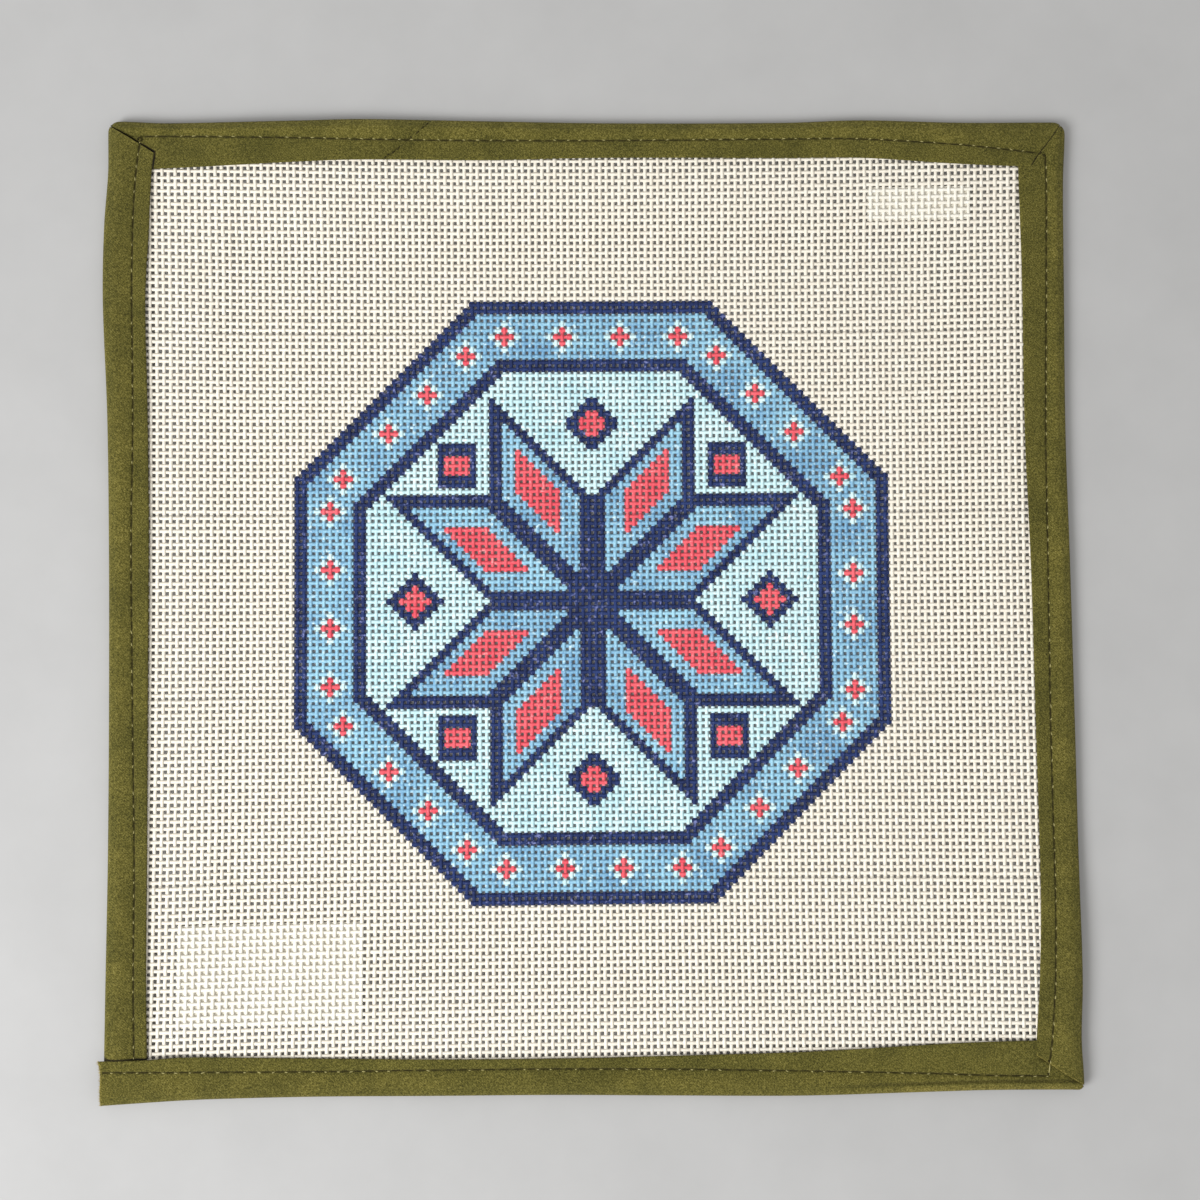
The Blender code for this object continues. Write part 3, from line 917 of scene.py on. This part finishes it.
def strip_rings(strip):
    """Return a strip's rings, the tone of each of their points and how many points are outside."""
    outside, inside = tape_section()
    section = outside + inside
    fold = FRONT_HEIGHT / 2
    side = strip.side
    length = strip.end.outer - strip.start.outer
    near_ends = np.array(END_STEPS) / length
    shares = np.linspace(0.0, 1.0, round(length / STATION_STEP) + 1)
    shares = np.sort(np.concatenate([shares, near_ends, 1 - near_ends]))
    rings = np.zeros((len(shares), len(section), 3))
    tones = np.full((len(shares), len(section)), EVEN_TONE)
    for k, point in enumerate(section):
        frontness = point.value if point.zone == "fold" else float(point.front)
        start, end = stops_at(strip, frontness, np.full(len(shares), point.lane))
        outer, stitch, inner = lines_at(side.rows, start + (end - start) * shares)
        width, flange = outer - stitch, stitch - inner
        leaf = LEAF_THICKNESS * point.depth
        edge_pull = 0.0 if point.front else BACK_EDGE_PULL
        if point.zone == "fold":
            angle = math.pi / 2 + math.pi * point.value
            distance = np.full(len(shares), fold + (fold - leaf) * math.cos(angle))
            height = fold - (fold - leaf) * math.sin(angle)
        else:
            distance = {
                "roll": fold + point.value * (width - fold + GROOVE_OFFSETS[0] - ROLL_STOP),
                "stitch": width + point.value,
                "flange": width + point.value * flange,
                "edge": width + flange - EDGE_ROUND * (1 - point.value) - edge_pull,
            }[point.zone]
            height = leaf
            if point.front:
                into_flange = np.clip((distance - width) / flange, 0.0, 1.0)
                flange_relief = FLANGE_RELIEF * np.sin(math.pi * into_flange) ** 0.5
                pressed = PRESS * ease((distance - fold) / (width - fold))
                height = FRONT_HEIGHT - leaf - pressed + flange_relief
                height = height + roll_relief(distance, width, fold)
        past_stitch = np.minimum(1 + 2 * (distance - width) / flange, 3.0)
        lanes = np.where(distance < width, distance / width, past_stitch)
        start, end = stops_at(strip, frontness, lanes)
        station = start + (end - start) * shares
        across = side.sign * (outer - distance)
        x, y = (station, across) if side.runs_along_x else (across, station)
        if frontness > 0.5:
            for joint, stop in ((strip.start_joint, start), (strip.end_joint, end)):
                gap = np.abs(station - stop)
                rise = joint.rise * (2 * frontness - 1)
                height = height + rise * np.clip(1 - gap / joint.run, 0.0, 1.0) ** 2
                # The joint's tone, a painted highlight or painted shade near the strip's end
                tones[:, k] += joint.tone * np.clip((joint.reach - gap) / TONE_FADE, 0.0, 1.0)
        # A painted shadow along the top left mitre, where the left length lies over the top one
        if frontness > 0.5 and strip.name == "top_left":
            into_mitre_shadow = (MITRE_SHADOW_HALF_WIDTH - line_distance(x, y, MITRE_SHADOW_LINE)) / TONE_FADE + 0.5
            tones[:, k] -= MITRE_SHADOW_TONE * np.clip(into_mitre_shadow, 0.0, 1.0)
        if point.front and point.depth < 1.0:
            off_line = distance - width
            phase = 2 * math.pi * stitch_phase(side, station)
            in_row = (station > side.seam_start - SEAM_MARGIN) & (station < side.seam_end + SEAM_MARGIN)
            groove = np.exp(-((off_line / GROOVE_HALF_WIDTH) ** 2)) * in_row
            groove = groove * (GROOVE_MEAN - GROOVE_SWING * np.cos(phase))
            fade = np.exp(-np.abs(off_line) / PUCKER_REACH)
            height = height - GROOVE_DEPTH * groove - PUCKER * np.cos(phase) * fade * (1 - groove)
            height = height + cloth_waves(zip(x, y), 1 - STITCH_HOLD * fade)
            # Painted highlight on the roll and painted shade in the stitching's groove
            rolled = roll_relief(distance, width, fold) / ROLL_RELIEF
            tones[:, k] += ROLL_TONE * rolled + GROOVE_TONE * groove
        # The bottom crease dips, with painted shade in it and a painted highlight on its lip
        if side is BOTTOM and frontness > 0.5:
            creased = ease((x - CREASE_START) / CREASE_RUN)
            crease = creased * np.exp(-(((distance - CREASE_OFFSET) / CREASE_HALF_WIDTH) ** 2))
            lip = creased * ease((CREASE_OFFSET - distance) / CREASE_HALF_WIDTH - CREASE_LIP_START)
            height = height - CREASE_DEPTH * crease
            tones[:, k] += CREASE_LIP_TONE * lip - CREASE_TONE * crease
        if side is BOTTOM:
            above_back_leaf = (height - LEAF_LEVEL) / (FRONT_HEIGHT - 2 * LEAF_LEVEL)
            over_left = 1 - ease((x - OVERLAP_END) / OVERLAP_RUN)
            height = height + OVERLAP_RAISE * over_left * ease(above_back_leaf)
        if not point.front and point.zone == "stitch" and point.depth == 0.0:
            height = height + BACK_GROOVE_DEPTH * (1.0 if point.value == 0.0 else BACK_GROOVE_SIDE)
        # A painted highlight along the fold's outer face
        if point.zone == "fold" and point.depth == 0.0:
            tones[:, k] += FOLD_TONE * math.sin(math.pi * point.value)
        x, y = round_corners(x, y)
        rings[:, k] = np.stack([x, y, height + edge_lift(x, y)], axis=-1)
    return rings, tones, len(outside)


def section_caps(count, outside_count):
    """Return faces that close an end of the folded section, as point numbers in a ring."""
    # The outside has more points than the inside, so each point inside has faces to several outside
    inside = list(range(outside_count, count))[::-1]
    faces = []
    reached = 0
    for k in range(outside_count - 1):
        target = round((k + 1) / (outside_count - 1) * (len(inside) - 1))
        if target > reached:
            faces.append((k, k + 1, inside[target], inside[reached]))
            reached = target
        else:
            faces.append((k, k + 1, inside[reached]))
    return faces


def add_strip(strip, material):
    """Add one side of the binding. Return it and its rings."""
    rings, tones, outside_count = strip_rings(strip)
    stations, count, _ = rings.shape
    points, quads, _ = loft(rings[None])
    # The rings run the other way round on the sides where this is true, and so do the faces
    turned = strip.side.runs_along_x != (strip.side.sign > 0)
    caps = []
    for first, reverse in ((0, not turned), ((stations - 1) * count, turned)):
        for face in section_caps(count, outside_count):
            caps.append(first + np.array([face[::-1] if reverse else face]))
    quads = quads[:, ::-1] if turned else quads
    item = add_mesh(f"tape_{strip.name}", points, (quads,), caps)
    tone = item.data.attributes.new("tone", "FLOAT", "POINT")
    tone.data.foreach_set("value", tones.ravel())
    dress(item, [material], (f"binding_{strip.name}",))
    return item, rings


# Sewing thread and loose fibres

def tube_rings(paths, radii, sides):
    """Return the rings of round threads along paths that lie nearly flat."""
    ahead = np.gradient(paths, axis=1)
    ahead /= np.linalg.norm(ahead, axis=-1, keepdims=True)
    across = np.cross((0.0, 0.0, 1.0), ahead)
    across /= np.linalg.norm(across, axis=-1, keepdims=True)
    up = np.cross(ahead, across)
    angles = 2 * math.pi * np.arange(sides) / sides
    wide = np.cos(angles)[:, None] * across[:, :, None]
    high = np.sin(angles)[:, None] * up[:, :, None]
    return paths[:, :, None] + radii[:, :, None, None] * (wide + high)


def tape_tree(strips):
    """Return a search tree of the tape's faces, in millimetres."""
    points, faces = [], []
    for item in strips:
        first = len(points)
        points += [vertex.co / MM for vertex in item.data.vertices]
        faces += [[first + k for k in polygon.vertices] for polygon in item.data.polygons]
    return BVHTree.FromPolygons(points, faces)


def face_height(tree, x, y, front):
    """Return the height of the tape's front or back face at places."""
    far = 20.0 if front else -20.0
    heights = []
    for place_x, place_y in zip(x.ravel().tolist(), y.ravel().tolist()):
        hit = tree.ray_cast(Vector((place_x, place_y, far)), Vector((0.0, 0.0, -far)))[0]
        heights.append(hit.z if hit else FRONT_HEIGHT)
    return np.array(heights).reshape(x.shape)


def seam_places(side, phases, outward):
    """Return places along a side's row of stitching, from counts of stitches."""
    stations = np.linspace(side.seam_start, side.seam_end, 4000)
    station = np.interp(phases, stitch_phase(side, stations), stations)
    across = side.sign * (lines_at(side.rows, station)[1] + outward)
    return (station, across) if side.runs_along_x else (across, station)


def stitches(side, tree, front, draws):
    """Return the rings of a row's stitches, which dip into the cloth at both ends."""
    share = np.linspace(0.0, 1.0, 7)
    count = stitch_count(side)
    starts = np.arange(count)[:, None] + draws.uniform(*STITCH_STARTS, (count, 1))
    ends = np.arange(count)[:, None] + draws.uniform(*STITCH_ENDS, (count, 1))
    lean = draws.normal(0.0, STITCH_LEAN, (count, 1)) * (share - 0.5) * 2
    x, y = seam_places(side, starts + (ends - starts) * share, lean)
    dip = np.abs(2 * share - 1) ** 4
    rise = (STITCH_RISE - STITCH_DIP * dip) * (1.0 if front else -1.0)
    z = face_height(tree, x, y, front) + rise
    radii = STITCH_HALF_WIDTH * (1 - STITCH_TAPER * dip) * draws.uniform(*STITCH_FULLNESS, (count, 1))
    return tube_rings(np.stack([x, y, z], axis=-1), radii, STITCH_SIDES)


def glints(side, tree, draws):
    """Return the rings of the short loops of thread that show where the needle went in."""
    share = np.linspace(-1.0, 1.0, 5)
    whole = np.arange(stitch_count(side) + 1)
    whole = whole[draws.random(len(whole)) < GLINT_PART][:, None]
    middle = whole + draws.normal(0.0, GLINT_SHIFT, whole.shape)
    half = GLINT_LENGTH / 2 * draws.uniform(*GLINT_LENGTHS, whole.shape)
    outward = GLINT_OFFSET + share * draws.normal(0.0, GLINT_LEAN, whole.shape)
    x, y = seam_places(side, middle + half * share, outward)
    z = face_height(tree, x, y, True) + GLINT_RISE - GLINT_DIP * share**2
    radii = GLINT_RADIUS * (1 - GLINT_TAPER * share**2) * draws.uniform(*GLINT_FULLNESS, whole.shape)
    return tube_rings(np.stack([x, y, z], axis=-1), radii, STITCH_SIDES)


def pits(tree):
    """Return the rings of the short threads that fill the pits, dark as painted shade."""
    share = np.linspace(-1.0, 1.0, 5)
    x, y, length, radius, turn = (np.array(column)[:, None] for column in zip(*PITS))
    x = x + length / 2 * share * np.cos(turn)
    y = y + length / 2 * share * np.sin(turn)
    z = face_height(tree, x, y, True) + PIT_RISE - PIT_DIP * share**2
    radii = radius * (1 - PIT_TAPER * share**2)
    return tube_rings(np.stack([x, y, z], axis=-1), radii, STITCH_SIDES)


def loose_loop(tree):
    """Return the rings of the loop of thread at the top left mitre."""
    angles = np.linspace(*LOOP_TURN, 14)[None, :]
    x = LOOP_X + LOOP_REACH * np.cos(angles)
    y = LOOP_Y + LOOP_REACH * np.sin(angles)
    z = np.full(x.shape, face_height(tree, x, y, True).max() + LOOP_RISE)
    return tube_rings(np.stack([x, y, z], axis=-1), np.full(x.shape, LOOP_RADIUS), STITCH_SIDES)


def add_threads(name, groups, materials):
    """Add threads from groups of rings, one group for each material."""
    points, tubes, caps, tube_count = [], [], [], 0
    colours, cap_colours = [], []
    for number, rings in groups:
        group_points, group_quads, group_caps = loft(rings)
        tubes.append(group_quads + tube_count)
        caps.append(group_caps + tube_count)
        points.append(group_points)
        colours.append(np.full(len(group_quads), number))
        cap_colours.append(np.full(len(group_caps), number))
        tube_count += len(group_points)
    item = add_mesh(name, np.concatenate(points), tubes, caps)
    dress(item, materials, ())
    item.data.polygons.foreach_set("material_index", np.concatenate(colours + cap_colours))
    return item


def add_stitching(strips, draws):
    """Add the rows of stitching on both faces, the join's pits and the loose loop."""
    # The front's thread in two colours: a dark one, painted shade, for the stitches in their groove, also
    # used for the pits and the loose loop, and a lighter one, painted highlight, for the glints
    dark = thread_material("thread_painted_shade", (0.032, 0.027, 0.005))
    light = thread_material("thread_painted_highlight", (0.40, 0.36, 0.15))
    tree = tape_tree(strips)
    groups = [(0, pits(tree)), (0, loose_loop(tree))]
    for side in (LEFT, TOP, RIGHT, BOTTOM):
        row = stitches(side, tree, True, draws)
        # The first stitch of the right side turns the corner and lies loose, in the lighter thread colour as
        # a painted highlight where it catches the light
        lit = 1 if side is RIGHT else 0
        groups += [(1, row[:lit]), (0, row[lit:])] if lit else [(0, row)]
        groups.append((1, glints(side, tree, draws)))
    add_threads("stitches_front", groups, [dark, light])
    back = [(0, stitches(side, tree, False, draws)) for side in (LEFT, TOP, RIGHT, BOTTOM)]
    olive = thread_material("olive_thread", (0.16, 0.15, 0.04))
    add_threads("stitches_back", back, [olive])


def add_fray(end_ring, outside_count, draws):
    """Add the loose fibres at the bottom length's raw end."""
    front = end_ring[FRAY_FIRST:outside_count]
    at = draws.uniform(0.0, len(front) - 1.001, FRAY_COUNT)
    low = at.astype(int)
    root = front[low] + (front[low + 1] - front[low]) * (at - low)[:, None]
    root[:, 0] += FRAY_ROOT
    root[:, 2] -= draws.uniform(0.0, FRAY_DEPTH, FRAY_COUNT)
    reach = FRAY_SHORTEST + FRAY_LENGTH * draws.uniform(0.1, 1.0, FRAY_COUNT) ** FRAY_RARENESS
    ahead = np.stack([-np.ones(FRAY_COUNT), *draws.normal(0.0, FRAY_SPREAD, (FRAY_COUNT, 2)).T], axis=-1)
    share = np.linspace(0.0, 1.0, 4)
    curl = draws.normal(0.0, FRAY_CURL, FRAY_COUNT)[:, None] * share**2
    paths = root[:, None] + reach[:, None, None] * ahead[:, None] * share[:, None]
    paths[..., 1] += reach[:, None] * curl
    paths[..., 1] = np.maximum(paths[..., 1], end_ring[:, 1].min())
    paths[..., 2] = np.maximum(paths[..., 2], FRAY_RADIUS)
    radii = FRAY_RADIUS * (1 - FRAY_TAPER * share) * np.ones((FRAY_COUNT, 1))
    pale = thread_material("cut_fibres", (0.42, 0.35, 0.19))
    add_threads("frayed_end", [(0, tube_rings(paths, radii, 3))], [pale])


# Floor, camera and light

def add_floor():
    bpy.ops.mesh.primitive_plane_add(size=6.0, location=(0.0, 0.0, -0.0003))
    floor = bpy.context.active_object
    floor.name = "floor"
    material, tree, shader = node_tree("pale_floor")
    greys = ((0.3, (0.43, 0.43, 0.43)), (0.7, (0.46, 0.46, 0.46)))
    mottle = ramp_node(tree, noise_node(tree, 30.0, 4.0), greys)
    feed(tree, shader, {"Base Color": mottle, "Roughness": 0.7})
    floor.data.materials.append(material)


def add_camera():
    """Add the camera where the photograph was taken, almost straight above the panel."""
    place = Vector((-7.66, -27.99, 547.79)) * MM
    tilt_x, tilt_y, turn = -0.05251, 0.01996, 0.00867
    turns = [Matrix.Rotation(turn, 3, "Z"), Matrix.Rotation(tilt_x, 3, "X"), Matrix.Rotation(tilt_y, 3, "Y")]
    to_camera = turns[0] @ turns[1] @ turns[2]
    data = bpy.data.cameras.new("camera")
    data.lens = 55.11
    data.sensor_width = 36.0
    camera = bpy.data.objects.new("camera", data)
    camera.matrix_world = Matrix.Translation(place) @ to_camera.transposed().to_4x4()
    bpy.context.scene.collection.objects.link(camera)
    bpy.context.scene.camera = camera


def add_lights():
    """Add a large soft key light from the lower left and an even fill."""
    data = bpy.data.lights.new("key", "AREA")
    data.size = 0.55
    data.energy = 13.0
    key = bpy.data.objects.new("key", data)
    key.location = (-0.74, -0.48, 0.80)
    key.rotation_euler = (Vector((0.0, 0.0, 0.0)) - key.location).to_track_quat("-Z", "Y").to_euler()
    bpy.context.scene.collection.objects.link(key)
    world = bpy.data.worlds.new("studio")
    world.use_nodes = True
    background = world.node_tree.nodes["Background"]
    feed(world.node_tree, background, {"Color": (1.0, 0.99, 0.97, 1.0), "Strength": 0.64})
    bpy.context.scene.world = world
    bpy.context.scene.view_settings.view_transform = "Standard"


def main():
    draws = np.random.default_rng(11)
    add_camera()
    yarns = [yarn_material(*yarn) for yarn in YARNS]
    for band in range(BANDS):
        add_canvas_band(band, yarns, draws)
    for patch in PATCHES:
        add_patch(patch, yarns[WHITENED])
    tape = tape_material()
    strips = [add_strip(strip, tape) for strip in STRIPS]
    add_stitching([item for item, _ in strips], draws)
    add_fray(strips[-1][1][0], len(tape_section()[0]), draws)
    add_floor()
    add_lights()


main()
